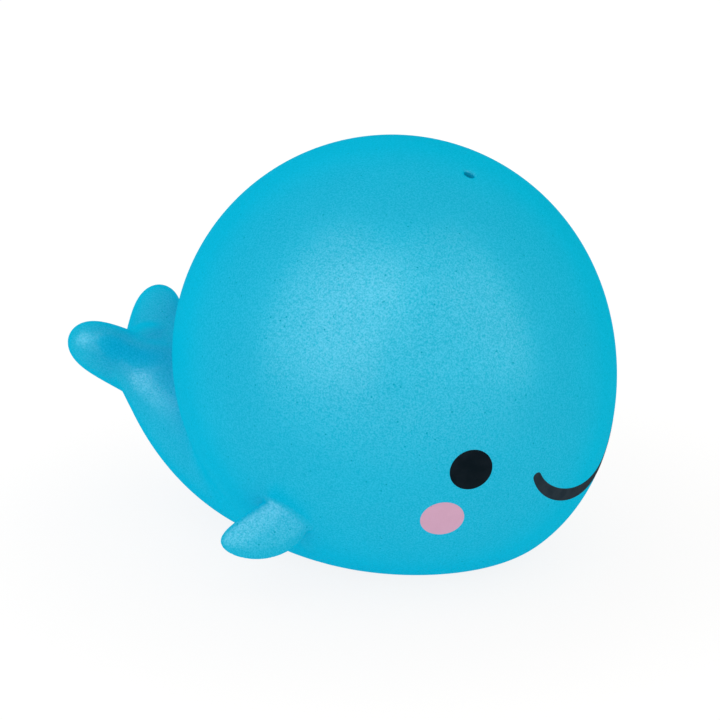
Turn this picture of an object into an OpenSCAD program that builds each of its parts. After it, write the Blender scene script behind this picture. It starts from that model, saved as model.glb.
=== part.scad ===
// Squeaky bath toy: a round whale in one hollow vinyl skin, with its face printed on
// and a reed squeaker snapped into its base.
// The floor is z = 0, the nose points along +X, and the dome's centre stands over the origin.

/* [Body] */
// Radius of the round dome
dome_r = 40; // [38:0.5:42]
// How much of the round is taken off for the flat base
base_cut = 4.7; // [4.2:0.1:5.2]
// Radius over which the belly turns into the base
base_round = 4; // [3:0.5:5]
// How far the chin bulges past the dome
chin_out = 4; // [2:0.5:5]
// Angle of the chin's bulge below the level
chin_dip = 41; // [35:1:47]
// Angle from its middle at which the chin's bulge has halved
chin_spread = 33; // [29:0.5:37]
// Thickness of the vinyl skin
wall = 2.2; // [1.8:0.1:2.6]
// Thickness of the skin under the base
base_wall = 2.4; // [2:0.1:3]

/* [Blowhole] */
// Diameter of the blowhole's bore
blow_d = 2; // [1.6:0.1:2.4]
// Diameter of the blowhole's dimple
dimple_d = 3.8; // [3:0.1:4.6]
// Depth of the blowhole's dimple
dimple_h = 0.8; // [0.5:0.1:1.1]
// Angle of the blowhole above the level
blow_lift = 66.7; // [60:0.1:72]

/* [Tail] */
// How far behind the dome's centre the stem starts, inside the body
tail_root_back = 3.4; // [2.6:0.2:4.6]
// How far below the dome's centre the stem starts
tail_root_drop = 22; // [21:0.2:22.4]
// How far inside the dome's back the point lies that the stem's curve leans towards
tail_bend_in = 1.9; // [1.1:0.2:2.7]
// How far below the dome's centre that point lies
tail_bend_drop = 28.9; // [28.1:0.2:29.3]
// How far behind the dome's back the stem ends
tail_top_out = 14; // [13:0.1:15]
// How far below the dome's centre the stem ends
tail_top_drop = 7.6; // [6.8:0.1:8.6]
// Width of the stem where it starts
tail_root_w = 61; // [58:0.5:62]
// Width of the stem where it bends
tail_bend_w = 31; // [29:0.5:33]
// Width of the stem where it ends
tail_top_w = 18; // [16:0.2:19]
// Thickness of the stem where it starts
tail_root_t = 21.6; // [20:0.2:22.4]
// Thickness of the stem where it bends
tail_bend_t = 25; // [23.4:0.2:25.8]
// Thickness of the stem where it ends
tail_top_t = 8.5; // [7.5:0.1:9.5]
// Height of the stem's round end
tail_cap = 3.5; // [3:0.1:4.2]

/* [Flukes] */
// How far behind the dome's back each fluke starts
fluke_root_out = 12.9; // [12.2:0.1:13.6]
// How far from the middle each fluke starts
fluke_root_side = 0.5; // [0.3:0.1:1.2]
// How far below the dome's centre each fluke starts
fluke_root_drop = 12.3; // [11.6:0.1:13]
// How far behind the dome's back each fluke's axis ends
fluke_tip_out = 19.4; // [18.4:0.2:20.4]
// How far from the middle each fluke's axis ends
fluke_tip_side = 15.4; // [14.4:0.2:16.6]
// How far below the dome's centre each fluke's axis ends
fluke_tip_drop = 1.9; // [1:0.1:3]
// Diameter of a fluke where it starts
fluke_root_d = 11.8; // [11.2:0.1:12.4]
// Diameter that a fluke runs towards, before its tip rounds off
fluke_tip_d = 9.5; // [8.8:0.1:10.4]

/* [Flippers] */
// Length of a flipper, with the root that is sunk in the body
flipper_l = 19.8; // [18.4:0.2:21.2]
// Width of a flipper
flipper_w = 9.6; // [8.8:0.2:10.6]
// Thickness of a flipper
flipper_t = 3.8; // [3.4:0.1:4.6]
// Angle of a flipper's middle round from the nose
flipper_turn = 96.9; // [93.1:0.2:100.1]
// Angle of a flipper's middle below the level
flipper_dip = 27.6; // [25:0.1:30]
// How far a flipper's middle lies outside the dome
flipper_out = 1.8; // [1.2:0.1:2.6]
// Angle that a flipper is swept back from square to the body
flipper_sweep = 43.6; // [38:0.2:48]
// Angle that a flipper droops
flipper_droop = 30.6; // [26:0.2:35]
// How far a flipper's middle bows down past its two ends
flipper_bow = 2.4; // [1.8:0.1:3]
// Angle that a flipper's front edge is turned down
flipper_pitch = 63.4; // [58:0.1:69]

/* [Face] */
// Diameter of a printed eye
eye_d = 7.8; // [7:0.1:8.6]
// Angle of an eye round from the nose
eye_turn = 40.9; // [38:0.1:44]
// Angle of an eye below the level
eye_dip = 10.8; // [8:0.1:12]
// Diameter of a printed cheek
cheek_d = 7.8; // [7:0.1:8.4]
// Angle of a cheek round from the nose
cheek_turn = 47.3; // [45:0.1:50]
// Angle of a cheek below the level
cheek_dip = 25.1; // [24:0.1:28]
// Width of the printed smile, end to end
mouth_w = 34; // [28:0.2:37]
// How far the smile's ends rise above its middle
mouth_rise = 7.2; // [5:0.1:9]
// Width of the smile's line in its middle
mouth_line = 2.6; // [2:0.1:3]
// Width of the smile's line near its ends
mouth_end_line = 1.7; // [1.3:0.1:2]
// How far round its arc the smile runs to each end
mouth_arc = 74; // [60:1:84]
// Angle of the smile's middle below the level
mouth_dip = 25.4; // [23:0.1:28]
// Thickness of the printed ink
ink_t = 0.1; // [0.06:0.01:0.16]

/* [Squeaker] */
// Height of the squeaker's flange above the floor
flange_lift = 0.4; // [0.3:0.05:0.6]
// Diameter of the flange
flange_d = 20; // [19:0.2:21]
// Thickness of the flange
flange_t = 1.4; // [1.2:0.1:1.6]
// Outer diameter of the barrel
barrel_d = 13.6; // [13:0.1:14.4]
// Height of the barrel above the flange
barrel_h = 11.2; // [10.6:0.2:12.4]
// Wall of the barrel
barrel_wall = 1.4; // [1.1:0.1:1.6]
// Thickness of the plate that carries the reed
plate_t = 4; // [3.4:0.1:4.6]
// How far the snap ring stands out from the barrel
snap_out = 0.8; // [0.5:0.05:1]
// Height of the snap ring
snap_h = 1.6; // [1.2:0.1:2]
// Thickness of the vinyl lip that the snap ring holds
lip_t = 2.4; // [2:0.1:2.8]
// Width of the thick pad around the squeaker's hole
pad_w = 4.2; // [3.4:0.1:5]
// Diameter of the bore that holds the reed
reed_bore_d = 6; // [5.4:0.1:6.6]
// Gap between the reed block and the cap
block_gap = 0.9; // [0.5:0.1:1.3]
// Width of the block's air channel
channel_w = 2.4; // [2:0.1:2.8]
// Depth of the block's air channel
channel_h = 1.7; // [1.4:0.1:1.9]
// Thickness left over the channel's closed end
channel_end = 1.4; // [1.2:0.1:1.8]
// Width of the reed
reed_w = 4; // [3.6:0.1:4.4]
// Thickness of the reed
reed_t = 0.15; // [0.12:0.01:0.2]
// How far the reed ends below the block's top
reed_short = 0.9; // [0.7:0.1:1.1]
// Gap under the reed's tip when it is open
reed_gap = 0.3; // [0.2:0.02:0.34]
// Height of the wedge that clamps the reed
wedge_h = 3.3; // [2.8:0.1:3.4]
// Thickness of the cap on the barrel
cap_t = 1.2; // [1:0.1:1.6]
// Depth of the spigot under the cap
spigot_h = 1.2; // [0.9:0.1:1.4]
// Diameter of an air hole in the cap
cap_hole_d = 1.4; // [1:0.1:1.7]
// Number of air holes round the cap's middle
cap_holes = 6; // [4:1:8]

/* [Clearances] */
// Gap between the skin and the printed ink
ink_gap = 0.02; // [0.01:0.01:0.04]
// Gap round the flange and the barrel in the vinyl
seat_gap = 0.1; // [0.05:0.01:0.15]
// Gap round pieces pressed into the squeaker
press_gap = 0.05; // [0.03:0.01:0.08]
// Gap on each side of the reed
reed_play = 0.07; // [0.06:0.01:0.1]
// Overrun of a cut past the face that it opens
overrun = 1; // [0.5:0.1:2]

/* [Hidden] */
$fn = 64;

// Height of the dome's centre above the floor
dome_h = dome_r - base_cut;
// How far the belly's round would run below the floor, so that the floor cuts a clean edge
base_lip = seat_gap;
// The chin's direction
chin = along(0, -chin_dip);

// Facets: rings from top to bottom or end to end, and points round each ring
body_rings = 36;
body_points = 64;
cavity_rings = 20;
cavity_points = 36;
stem_rings = 14;
stem_points = 28;
fluke_rings = 10;
fluke_points = 20;
cap_rings = 4;
flipper_rings = 12;
flipper_points = 22;
print_rings = 3;
print_points = 32;
mouth_rings = 24;
mouth_end_rings = 4;
// How much squarer than an oval the stem is where it starts
tail_square_share = 0.43;
// The power of the way along a fluke that rounds off its tip, so that its sides stay straight till late
fluke_tip_power = 6;

// Heights in the squeaker
flange_z = flange_lift + flange_t;
seat_z = flange_z + seat_gap;
lip_z = seat_z + lip_t;
plate_z = flange_lift + plate_t;
barrel_z = flange_z + barrel_h;
spigot_z = barrel_z - spigot_h;
block_z = flange_lift + seat_gap;
block_h = spigot_z - block_gap - block_z;
wedge_z = block_z;
reed_z = block_z + seat_gap;
reed_l = block_z + block_h - reed_short - reed_z;
// The reed's hinge lies half way up its clamped root
hinge_z = wedge_z + wedge_h/2;
reed_top_z = reed_z + reed_l;
// Angle that the reed's tip swings through to close on the block
reed_swing = asin(reed_gap/(reed_top_z - hinge_z));
slot_w = reed_t + 2*reed_play;
pad_r = barrel_d/2 + seat_gap + pad_w;
cavity_r = barrel_d/2 - barrel_wall;

// Unit vector at an angle round from the nose and an angle above the level
function along(turn, lift) = [cos(lift)*cos(turn), cos(lift)*sin(turn), sin(lift)];

// The larger of a and b, rounded off where they are within k of each other
function soft_max(a, b, k) = max(a, b) + pow(max(k - abs(a - b), 0), 2)/(4*k);

// Share of the chin's bulge that is left in direction d
function chin_share(d) = pow(2, (d*chin - 1)/(1 - cos(chin_spread)));

// The body's surface in direction d, moved outwards by off, and levelled at height floor_z
function skin(d, off, floor_z) =
    let (p = (dome_r + off + chin_out*chin_share(d))*d)
    [p.x, p.y, soft_max(p.z + dome_h, floor_z, base_round)];

// A point of a quadratic curve from a to c that leans towards b
function bend(a, b, c, s) = pow(1 - s, 2)*a + 2*s*(1 - s)*b + s*s*c;
// The direction in which that curve runs
function bend_run(a, b, c, s) = unit((1 - s)*(b - a) + s*(c - b));

function unit(v) = v/norm(v);

// A sine or cosine with its small values raised, which makes an oval that much squarer
function squarer(x, more) = sign(x)*pow(abs(x), 1/(1 + more));

// A ring of m points about c, with half widths a along u and b along v: an oval, or a squarer one
function ring(c, u, v, a, b, m, more = 0) = [
    for (j = [0:m - 1])
        c + a*squarer(cos(360*j/m), more)*u + b*squarer(sin(360*j/m), more)*v
];

// Triangles of a closed skin: a point, n rings of m points, and a point
function loft_faces(n, m) = concat(
    [for (j = [0:m - 1]) [0, 1 + (j + 1)%m, 1 + j]],
    [for (i = [0:n - 2], j = [0:m - 1], half = [0, 1])
        let (a = 1 + i*m + j, b = 1 + i*m + (j + 1)%m)
        half == 0 ? [a, b, b + m] : [a, b + m, a + m]],
    [for (j = [0:m - 1]) [1 + (n - 1)*m + j, 1 + (n - 1)*m + (j + 1)%m, 1 + n*m]]
);

module loft(first, rings, last)
    polyhedron(
        points = concat([first], [for (r = rings) each r], [last]),
        faces = loft_faces(len(rings), len(rings[0])),
        convexity = 4
    );

// The dome with its chin, moved outwards by off
module dome(off, floor_z, n, m)
    loft(
        skin(along(0, 90), off, floor_z),
        [for (i = [1:n]) [for (j = [0:m - 1]) skin(along(360*j/m, 90 - 180*i/(n + 1)), off, floor_z)]],
        skin(along(0, -90), off, floor_z)
    );

// The tail's stem, which leaves the belly backwards and curls up behind the dome
stem_from = [-tail_root_back, 0, dome_h - tail_root_drop];
stem_mid = [tail_bend_in - dome_r, 0, dome_h - tail_bend_drop];
stem_to = [-dome_r - tail_top_out, 0, dome_h - tail_top_drop];

module stem(off, n, m) {
    function at(s) = bend(stem_from, stem_mid, stem_to, s);
    function run(s) = bend_run(stem_from, stem_mid, stem_to, s);
    function across(s) = let (t = run(s)) [t.z, 0, -t.x];
    function half_w(s) = bend(tail_root_w, tail_bend_w, tail_top_w, s)/2 + off;
    function half_t(s) = bend(tail_root_t, tail_bend_t, tail_top_t, s)/2 + off;
    side = [0, 1, 0];
    loft(
        at(0),
        concat(
            [for (i = [0:n - 1]) let (s = i/(n - 1))
                ring(at(s), side, across(s), half_w(s), half_t(s), m, tail_square_share*(1 - s))],
            [for (i = [1:cap_rings - 1]) let (q = 90*i/cap_rings)
                ring(at(1) + (tail_cap + off)*sin(q)*run(1), side, across(1),
                    half_w(1)*cos(q), half_t(1)*cos(q), m)]
        ),
        at(1) + (tail_cap + off)*run(1)
    );
}

// A fluke: a fat lobe that leans out and up from the stem's end, tapers, and rounds off late
module fluke(hand, off, n, m) {
    from = [-dome_r - fluke_root_out, hand*fluke_root_side, dome_h - fluke_root_drop];
    to = [-dome_r - fluke_tip_out, hand*fluke_tip_side, dome_h - fluke_tip_drop];
    run = unit(to - from);
    u = unit(cross(run, [0, 0, 1]));
    v = cross(u, run);
    l = norm(to - from) + off;
    root_r = fluke_root_d/2 + off;
    tip_r = fluke_tip_d/2 + off;
    function half_w(s) = (root_r + (tip_r - root_r)*s)*sqrt(1 - pow(s, fluke_tip_power));
    loft(
        from - root_r*run,
        concat(
            [for (i = [1:cap_rings - 1]) let (q = 90 - 90*i/cap_rings)
                ring(from - root_r*sin(q)*run, u, v, root_r*cos(q), root_r*cos(q), m)],
            [for (i = [0:n - 1]) let (s = sin(90*i/n))
                ring(from + s*l*run, u, v, half_w(s), half_w(s), m)]
        ),
        from + l*run
    );
}

// A flipper: a thin oval leaf whose middle bows down, with its root sunk in the body
module flipper(hand) {
    n = flipper_rings;
    c = (dome_r + flipper_out)*along(hand*flipper_turn, -flipper_dip) + [0, 0, dome_h];
    run = along(hand*(90 + flipper_sweep), -flipper_droop);
    level = along(hand*flipper_sweep, 0);
    up = unit(cross(level, run))*hand;
    chord = cos(flipper_pitch)*level - sin(flipper_pitch)*up;
    thick = cross(chord, run);
    function share(i) = -cos(180*i/(n + 1));
    loft(
        c - flipper_l/2*run,
        [for (i = [1:n]) let (s = share(i), w = sqrt(1 - s*s))
            ring(c + s*flipper_l/2*run + flipper_bow*w*w*chord, chord, thick,
                flipper_w/2*w, flipper_t/2*w, flipper_points)],
        c + flipper_l/2*run
    );
}

module outside() {
    dome(0, -base_lip, body_rings, body_points);
    stem(0, stem_rings, stem_points);
    for (hand = [-1, 1]) {
        fluke(hand, 0, fluke_rings, fluke_points);
        flipper(hand);
    }
}

// The air space: the same surfaces, a wall's thickness further in
module inside() {
    dome(-wall, base_wall, cavity_rings, cavity_points);
    intersection() {
        stem(-wall, stem_rings, stem_points);
        translate([-2*dome_r, -dome_r, base_wall]) cube([2*dome_r, 2*dome_r, 2*dome_r]);
    }
    for (hand = [-1, 1]) fluke(hand, -wall, fluke_rings, fluke_points);
}

// Everything that the skin is opened for: floor, squeaker seat and blowhole
module openings() {
    translate([-2*dome_r, -2*dome_r, -dome_r]) cube([4*dome_r, 4*dome_r, dome_r]);
    translate([0, 0, -overrun]) cylinder(d = flange_d + 2*seat_gap, h = overrun + seat_z);
    translate([0, 0, -overrun]) cylinder(d = barrel_d + 2*seat_gap, h = 2*overrun + lip_z);
    rotate_at_blowhole() {
        translate([0, 0, dome_r - wall - overrun]) cylinder(d = blow_d, h = wall + 2*overrun);
        translate([0, 0, dome_r - dimple_h])
            cylinder(d1 = blow_d, d2 = dimple_d + (dimple_d - blow_d)/dimple_h*overrun,
                h = dimple_h + overrun);
    }
}

module rotate_at_blowhole()
    translate([0, 0, dome_h]) rotate([0, 90 - blow_lift, 0]) children();

module body_shell() color([0.02, 0.68, 0.83]) difference() {
    outside();
    difference() {
        inside();
        translate([0, 0, -overrun]) cylinder(r = pad_r, h = overrun + lip_z);
    }
    openings();
}

// A round print on the skin, an ink film thick
module round_print(turn, dip, d) {
    c = along(turn, -dip);
    east = along(turn + 90, 0);
    north = cross(c, east);
    reach = asin(d/2/norm(skin(c, 0, -base_lip) - [0, 0, dome_h]));
    function at(a, b, off) = skin(cos(a)*c + sin(a)*(cos(b)*east + sin(b)*north), off, -base_lip);
    function circle_at(a, off) = [for (j = [0:print_points - 1]) at(a, 360*j/print_points, off)];
    loft(
        at(0, 0, ink_gap + ink_t),
        concat(
            [for (i = [1:print_rings]) circle_at(reach*i/print_rings, ink_gap + ink_t)],
            [for (i = [print_rings:-1:1]) circle_at(reach*i/print_rings, ink_gap)]
        ),
        at(0, 0, ink_gap)
    );
}

module right_eye() color([0.08, 0.1, 0.13]) round_print(-eye_turn, eye_dip, eye_d);
module left_eye() color([0.08, 0.1, 0.13]) round_print(eye_turn, eye_dip, eye_d);
module right_cheek() color([0.9, 0.6, 0.75]) round_print(-cheek_turn, cheek_dip, cheek_d);
module left_cheek() color([0.9, 0.6, 0.75]) round_print(cheek_turn, cheek_dip, cheek_d);

// The smile: a line of ink drawn along an arc on the chin, thinner towards its round ends
module mouth() {
    face_r = norm(skin(along(0, -mouth_dip), 0, -base_lip) - [0, 0, dome_h]);
    half_turn = asin((mouth_w - mouth_end_line)/2/face_r);
    rise = asin(mouth_rise/face_r);
    step_share = 0.001;
    function half_line(s) = asin((mouth_line + (mouth_end_line - mouth_line)*s*s)/2/face_r);
    function line(s) = along(
        half_turn*sin(mouth_arc*s)/sin(mouth_arc),
        rise*(1 - cos(mouth_arc*s))/(1 - cos(mouth_arc)) - mouth_dip
    );
    function run(s) = unit(line(s + step_share) - line(s - step_share));
    // A station's direction, its sideways direction and its half width, in degrees
    function station(s, past, h) =
        let (c = unit(line(s) + sin(past)*run(s))) [c, unit(cross(c, run(s))), h];
    function at(t, k, off) = skin(unit(t[0] + k*sin(t[2])*t[1]), off, -base_lip);
    function section(t) = [
        at(t, 0, ink_gap + ink_t), at(t, 1, ink_gap + ink_t), at(t, 1, ink_gap),
        at(t, 0, ink_gap), at(t, -1, ink_gap), at(t, -1, ink_gap + ink_t)
    ];
    function end(s, i) =
        let (q = 90*i/mouth_end_rings) station(s, s*half_line(s)*sin(q), half_line(s)*cos(q));
    color([0.1, 0.12, 0.15]) loft(
        at(station(-1, -half_line(1), 0), 0, ink_gap + ink_t/2),
        concat(
            [for (i = [mouth_end_rings - 1:-1:1]) section(end(-1, i))],
            [for (i = [0:mouth_rings]) let (s = 2*i/mouth_rings - 1) section(station(s, 0, half_line(s)))],
            [for (i = [1:mouth_end_rings - 1]) section(end(1, i))]
        ),
        at(station(1, half_line(1), 0), 0, ink_gap + ink_t/2)
    );
}

// The squeaker's case: a flange, a plate with the reed's bore, and a barrel with a snap ring
module squeaker_housing() color([0.93, 0.93, 0.9]) difference() {
    union() {
        translate([0, 0, flange_lift]) cylinder(d = flange_d, h = flange_t);
        translate([0, 0, flange_lift]) cylinder(d = barrel_d, h = barrel_z - flange_lift);
        translate([0, 0, lip_z + seat_gap])
            cylinder(d1 = barrel_d + 2*snap_out, d2 = barrel_d, h = snap_h);
    }
    translate([0, 0, plate_z]) cylinder(r = cavity_r, h = barrel_h);
    translate([0, 0, flange_lift - overrun]) cylinder(d = reed_bore_d, h = plate_t + 2*overrun);
}

// The cap on the barrel, with a ring of air holes
module squeaker_cap() color([0.93, 0.93, 0.9]) difference() {
    union() {
        translate([0, 0, barrel_z]) cylinder(d = barrel_d, h = cap_t);
        translate([0, 0, spigot_z]) cylinder(r = cavity_r - press_gap, h = spigot_h + cap_t);
    }
    for (i = [0:cap_holes])
        rotate([0, 0, 360*i/cap_holes])
            translate([i == cap_holes ? 0 : (cavity_r - press_gap)/2 + cap_hole_d/4, 0, spigot_z - overrun])
                cylinder(d = cap_hole_d, h = spigot_h + cap_t + 2*overrun);
}

// Half of a round plug in the reed's bore, on the side that hand names
module half_plug(hand, h) intersection() {
    translate([0, 0, block_z]) cylinder(d = reed_bore_d - 2*press_gap, h = h);
    translate([hand > 0 ? slot_w/2 : -slot_w/2 - reed_bore_d, -reed_bore_d/2, block_z])
        cube([reed_bore_d, reed_bore_d, h]);
}

// The block that the reed beats on: its channel leads the air out through the base
module reed_block() color([0.85, 0.86, 0.84]) difference() {
    half_plug(-1, block_h);
    translate([-slot_w/2 - channel_h, -channel_w/2, block_z - overrun])
        cube([channel_h + overrun, channel_w, block_h - channel_end + overrun]);
    translate([0, 0, hinge_z]) rotate([0, -reed_swing, 0])
        translate([-slot_w/2, -reed_bore_d, 0]) cube([reed_bore_d, 2*reed_bore_d, 2*block_h]);
}

// The reed: a thin tongue, clamped at its root between the block and the wedge
module reed() color([0.8, 0.85, 0.9])
    translate([-reed_t/2, -reed_w/2, reed_z]) cube([reed_t, reed_w, reed_l]);

module reed_wedge() color([0.85, 0.86, 0.84]) half_plug(1, wedge_h);

body_shell();
right_eye();
left_eye();
right_cheek();
left_cheek();
mouth();
squeaker_housing();
squeaker_cap();
reed_block();
reed();
reed_wedge();
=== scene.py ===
"""A squeaky whale bath toy in soft blue vinyl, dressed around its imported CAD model."""

import math

import bmesh
import bpy
import numpy as np
from mathutils import Matrix, Vector


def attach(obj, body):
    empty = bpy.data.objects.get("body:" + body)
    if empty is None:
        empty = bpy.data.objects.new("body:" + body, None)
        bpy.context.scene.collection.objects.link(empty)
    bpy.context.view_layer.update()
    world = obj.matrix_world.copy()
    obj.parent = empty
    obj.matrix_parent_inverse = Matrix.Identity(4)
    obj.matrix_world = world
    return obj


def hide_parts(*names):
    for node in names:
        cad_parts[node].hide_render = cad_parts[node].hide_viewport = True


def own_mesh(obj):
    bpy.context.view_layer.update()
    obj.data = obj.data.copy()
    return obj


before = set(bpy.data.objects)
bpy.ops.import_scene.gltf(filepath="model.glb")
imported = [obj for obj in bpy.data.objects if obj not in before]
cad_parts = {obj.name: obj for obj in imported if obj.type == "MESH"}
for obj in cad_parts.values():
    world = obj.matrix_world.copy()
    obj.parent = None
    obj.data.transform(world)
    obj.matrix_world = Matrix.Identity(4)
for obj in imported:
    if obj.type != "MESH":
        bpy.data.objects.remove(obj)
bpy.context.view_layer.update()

# Sizes of the toy in millimetres and degrees, the same as in the part's source
MM = 0.001
DOME_R, DOME_H, BASE_LIP, BASE_ROUND = 40.0, 35.3, 0.1, 4.0
CHIN_OUT, CHIN_DIP, CHIN_SPREAD = 4.0, 41.0, 33.0
WALL, BASE_WALL = 2.2, 2.4
BLOW_LIFT, BLOW_D, DIMPLE_D, DIMPLE_H = 66.7, 2.0, 2.8, 0.25
STEM_FROM = np.array([-3.4, 0.0, DOME_H - 22.0])
STEM_MID = np.array([1.9 - DOME_R, 0.0, DOME_H - 28.9])
STEM_TO = np.array([-DOME_R - 14.0, 0.0, DOME_H - 7.6])
STEM_WIDTHS, STEM_THICKS, STEM_CAP, STEM_SQUARE = (61.0, 31.0, 18.0), (21.6, 25.0, 8.5), 3.5, 0.43
FLUKE_ROOT, FLUKE_TIP = (-DOME_R - 12.9, 0.5, DOME_H - 12.3), (-DOME_R - 19.4, 15.4, DOME_H - 1.9)
FLUKE_ROOT_R, FLUKE_TIP_R, FLUKE_POWER = 5.9, 4.75, 6
FLIPPER_L, FLIPPER_W, FLIPPER_T, FLIPPER_BOW = 19.8, 9.6, 3.8, 2.4
FLIPPER_TURN, FLIPPER_DIP, FLIPPER_OUT = 96.9, 27.6, 1.8
FLIPPER_SWEEP, FLIPPER_DROOP, FLIPPER_PITCH = 43.6, 30.6, 63.4
EYE_D, EYE_TURN, EYE_DIP = 7.8, 40.9, 10.8
CHEEK_D, CHEEK_TURN, CHEEK_DIP = 7.8, 47.3, 25.1
MOUTH_W, MOUTH_RISE, MOUTH_DIP, MOUTH_ARC = 34.0, 7.2, 25.4, 74.0
MOUTH_LINE, MOUTH_END_LINE = 2.6, 1.7
SEAT_R, SEAT_Z, HOLE_R, LIP_Z, PAD_R = 10.1, 1.9, 6.9, 4.3, 11.1

# Where the turned walls of the seat and the bore run out into the skin: radii and a rise, then the radii at which
# the bore's wall follows the dome on its way to the dimple
SEAT_EDGE_R, PAD_EDGE_R, PAD_RISE, BORE_FOOT_R = 11.0, 12.2, 0.05, 3.0
RUN_IN = 3.9, 3.4, 2.9, 2.4
# How far the corners of their profiles are rounded, one after the other, and how many points go round them
SEAT_ROUNDS, BORE_ROUNDS = (0.3, 0.12, 0.25, 0.3, 0.5, 0.4), (0, 0, 0, 0.25, 0.12, 0.2)
SEAT_POINTS, BORE_POINTS = 96, 64
# Radii of the openings that the skin is given for them, outside and inside, and a height between the two
SEAT_CUT_R, HOLLOW_CUT_R, CUT_MARGIN, BLOW_CUT_R, HALF_WAY_UP = 11.3, 13.2, 0.3, 4.2, 20.0
VOXEL, QUICK_VOXEL, HOLLOW_VOXEL = 0.68, 1.2, 1.6
# The tail's forms reach no further ahead or up than this
TAIL_AHEAD, TAIL_UNDER = 8, 46
# A point is on a flipper's outside where its depth in the flipper is under the first of these, and its depths in the
# skin and the dome are over the others
FLIPPER_NEAR, SKIN_NEAR, DOME_CLEAR = 0.2, -0.3, -0.2
# The longest step of a point on its way to the skin, how far to each side a slope is taken, and the least square of
# a slope that a step is divided by
LONGEST_STEP, SLOPE_SIDE, LEAST_SLOPE = 1.5, 0.02, 0.05
# The least height over the floor at which the belly's levelling is undone, and how far along a fluke or a flipper,
# in whole lengths and half lengths, its form is still reckoned to change
LEAST_LIFT, FLUKE_REACH, FLIPPER_REACH = 0.02, 1.3, 1.2

# Radii over which the moulded forms run into each other, and how much more a fluke's does on its outer flank: the
# most, how far out it starts, and the way that the flank faces
STEM_SOFT, FLUKE_SOFT, NOTCH_SOFT, FLIPPER_SOFT = 3.0, 0.8, 1.0, 0.7
FLANK_SOFT, FLANK_FROM, FLANK = 3.6, 0.3, np.array([0.46, 0.82, 0.34])
# How far the ink stands proud of the vinyl, and how far its edge reaches into it
INK_T, INK_SUNK = 0.06, 0.05
# The ink's rounded edge: how far in from the outline, and how high there
INK_EDGE = (0.0, -INK_SUNK), (0.0, -0.01), (0.01, 0.02), (0.03, 0.042), (0.07, 0.055), (0.13, INK_T)


def along(turn, lift):
    """Unit vectors at an angle round from the nose and an angle above the level, in degrees."""
    turn, lift = np.radians(turn), np.radians(lift)
    return np.stack(np.broadcast_arrays(np.cos(lift) * np.cos(turn), np.cos(lift) * np.sin(turn), np.sin(lift)), -1)


def unit(v):
    """Each vector divided by its length."""
    return v / np.linalg.norm(v, axis=-1, keepdims=True)


def circle(angle, u, v):
    """Points of the unit circle: cos(angle) u + sin(angle) v."""
    return np.cos(angle)[:, None] * u + np.sin(angle)[:, None] * v


def soft_max(a, b, k):
    """The larger of a and b, plus the square of what |a - b| lacks to k, over 4k."""
    return np.maximum(a, b) + np.maximum(k - np.abs(a - b), 0) ** 2 / (4 * k)


def soft_min(a, b, k):
    """The smaller of a and b, rounded off where they are within k of each other."""
    return -soft_max(-a, -b, k)


def dome_radius(d):
    """The dome's radius in direction d, plus the chin's bulge, which halves CHIN_SPREAD away from its middle."""
    share = 2 ** ((d @ along(0, -CHIN_DIP) - 1) / (1 - math.cos(math.radians(CHIN_SPREAD))))
    return DOME_R + CHIN_OUT * share


def dome_skin(d, out=0.0, floor=-BASE_LIP):
    """Direction d times the dome's radius and what it is moved out, with heights levelled softly at the floor."""
    p = (dome_radius(d) + out)[..., None] * d
    return np.stack([p[..., 0], p[..., 1], soft_max(p[..., 2] + DOME_H, floor, BASE_ROUND)], -1)


def curve(a, b, c, s):
    """The quadratic curve (1-s)^2 a + 2s(1-s) b + s^2 c."""
    return (1 - s) ** 2 * a + 2 * s * (1 - s) * b + s * s * c


def dome_depth(p):
    """Distance from the dome's centre less its radius that way, once the belly's soft levelling is undone.

    Above the floor by t the levelling is undone by 2 sqrt(kt) - k, up to t = k."""
    t = p[:, 2] + BASE_LIP
    near = np.clip(t, LEAST_LIFT, BASE_ROUND)
    z = 2 * np.sqrt(BASE_ROUND * near) - BASE_ROUND - BASE_LIP + (t - near) * np.sqrt(BASE_ROUND / near)
    q = np.stack([p[:, 0], p[:, 1], z - DOME_H], -1)
    r = np.linalg.norm(q, axis=1)
    return r - dome_radius(q / r[:, None])


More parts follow.
